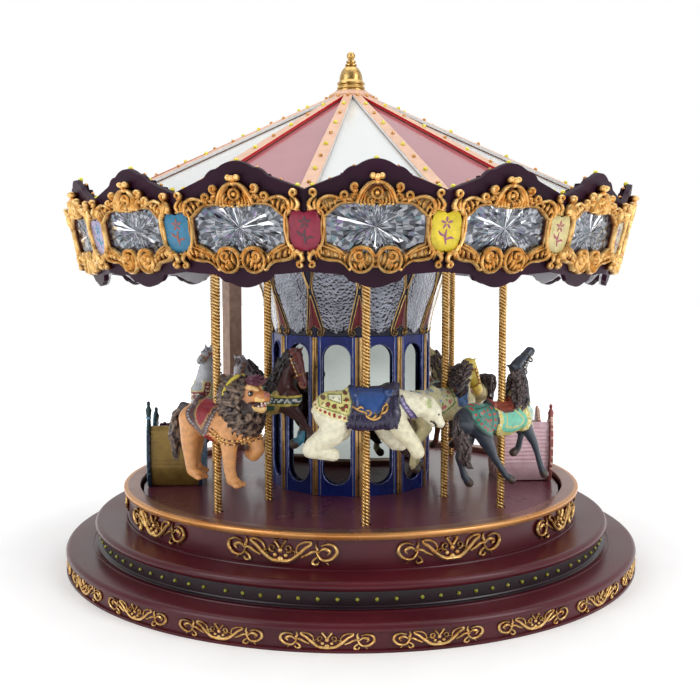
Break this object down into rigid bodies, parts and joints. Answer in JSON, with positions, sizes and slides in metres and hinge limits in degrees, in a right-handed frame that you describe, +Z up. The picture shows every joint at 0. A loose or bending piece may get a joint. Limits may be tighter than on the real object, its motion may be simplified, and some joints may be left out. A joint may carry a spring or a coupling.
{
  "type": "tabletop model of a fairground carousel",
  "caption": "Tabletop fairground carousel with a turning platform, rising figures on poles, two benches and a gabled canopy.",
  "frame": {"origin": "centre of the base's underside", "axes": "+Z up along the turntable's axis, -Y towards the front, +X to the right"},
  "size_m": [0.4, 0.4, 0.3542],
  "materials": {
    "mahogany": "lacquered",
    "band_paint": "satin",
    "rim_gold": "satin copper gold",
    "steel": "brushed",
    "post_wood": "lacquered",
    "liner": "matte",
    "plum": "satin",
    "crystal": "cut crystal",
    "gold": "antique gold",
    "roof": "gloss",
    "ribs": "satin",
    "mirror": "polished",
    "blue": "gloss",
    "bench_olive": "satin",
    "bench_pink": "satin",
    "brass": "twisted, polished",
    "lion_paint": "hand painted",
    "bear_paint": "hand painted",
    "black_paint": "hand painted",
    "brown_paint": "hand painted",
    "cream_paint": "hand painted",
    "grey_paint": "hand painted"
  },
  "bodies": {
    "stand": {"bottom_tier": "mahogany", "bulb_band": "band_paint", "middle_tier": "mahogany", "upper_drum": "mahogany", "rim_ring": "rim_gold", "centre_column": "steel", "rear_post": "post_wood", "canopy_deck": "liner", "rounding_boards": "plum", "board_liner": "liner", "light_strip": "plum", "lens_band": "crystal", "gold_frames": "gold", "roof_shell": "roof", "roof_ribs": "ribs", "finial": "gold"},
    "turntable": {"platform": "mahogany", "mirror_drum": "mirror", "arcade": "blue", "core_crown": "crystal", "guide_plate": "liner", "left_bench": "bench_olive", "right_bench": "bench_pink"},
    "lion_rider": {"lion": "lion_paint", "lion_pole": "brass"},
    "polar_bear_rider": {"polar_bear": "bear_paint", "polar_bear_pole": "brass"},
    "black_horse_rider": {"black_horse": "black_paint", "black_horse_pole": "brass"},
    "pink_horse_rider": {"pink_horse": "cream_paint", "pink_horse_pole": "brass"},
    "chestnut_horse_rider": {"chestnut_horse": "brown_paint", "chestnut_horse_pole": "brass"},
    "grey_horse_rider": {"grey_horse": "grey_paint", "grey_horse_pole": "brass"},
    "brown_horse_rider": {"brown_horse": "brown_paint", "brown_horse_pole": "brass"},
    "cream_horse_rider": {"cream_horse": "cream_paint", "cream_horse_pole": "brass"},
    "bay_horse_rider": {"bay_horse": "brown_paint", "bay_horse_pole": "brass"},
    "white_horse_rider": {"white_horse": "bear_paint", "white_horse_pole": "brass"}
  },
  "joints": [
    {"name": "turntable_spin", "type": "hinge", "parent": "stand", "child": "turntable", "pos_m": [0, 0, 0.0445], "axis": [0, 0, 1], "continuous": true},
    {"name": "lion_rise", "type": "slide", "parent": "turntable", "child": "lion_rider", "axis": [0, 0, 1], "range_m": [-0.006, 0.006]},
    {"name": "polar_bear_rise", "type": "slide", "parent": "turntable", "child": "polar_bear_rider", "axis": [0, 0, 1], "range_m": [-0.006, 0.006]},
    {"name": "black_horse_rise", "type": "slide", "parent": "turntable", "child": "black_horse_rider", "axis": [0, 0, 1], "range_m": [-0.006, 0.006]},
    {"name": "pink_horse_rise", "type": "slide", "parent": "turntable", "child": "pink_horse_rider", "axis": [0, 0, 1], "range_m": [-0.006, 0.006]},
    {"name": "chestnut_horse_rise", "type": "slide", "parent": "turntable", "child": "chestnut_horse_rider", "axis": [0, 0, 1], "range_m": [-0.006, 0.006]},
    {"name": "grey_horse_rise", "type": "slide", "parent": "turntable", "child": "grey_horse_rider", "axis": [0, 0, 1], "range_m": [-0.006, 0.006]},
    {"name": "brown_horse_rise", "type": "slide", "parent": "turntable", "child": "brown_horse_rider", "axis": [0, 0, 1], "range_m": [-0.006, 0.006]},
    {"name": "cream_horse_rise", "type": "slide", "parent": "turntable", "child": "cream_horse_rider", "axis": [0, 0, 1], "range_m": [-0.006, 0.006]},
    {"name": "bay_horse_rise", "type": "slide", "parent": "turntable", "child": "bay_horse_rider", "axis": [0, 0, 1], "range_m": [-0.006, 0.006]},
    {"name": "white_horse_rise", "type": "slide", "parent": "turntable", "child": "white_horse_rider", "axis": [0, 0, 1], "range_m": [-0.006, 0.006]}
  ],
  "couplings": [
    {"joint": "polar_bear_rise", "follows": "lion_rise", "ratio": -1},
    {"joint": "black_horse_rise", "follows": "lion_rise", "ratio": 1},
    {"joint": "pink_horse_rise", "follows": "lion_rise", "ratio": -1},
    {"joint": "chestnut_horse_rise", "follows": "lion_rise", "ratio": 1},
    {"joint": "grey_horse_rise", "follows": "lion_rise", "ratio": -1},
    {"joint": "brown_horse_rise", "follows": "lion_rise", "ratio": -1},
    {"joint": "cream_horse_rise", "follows": "lion_rise", "ratio": -1},
    {"joint": "bay_horse_rise", "follows": "lion_rise", "ratio": 1},
    {"joint": "white_horse_rise", "follows": "lion_rise", "ratio": 1}
  ]
}
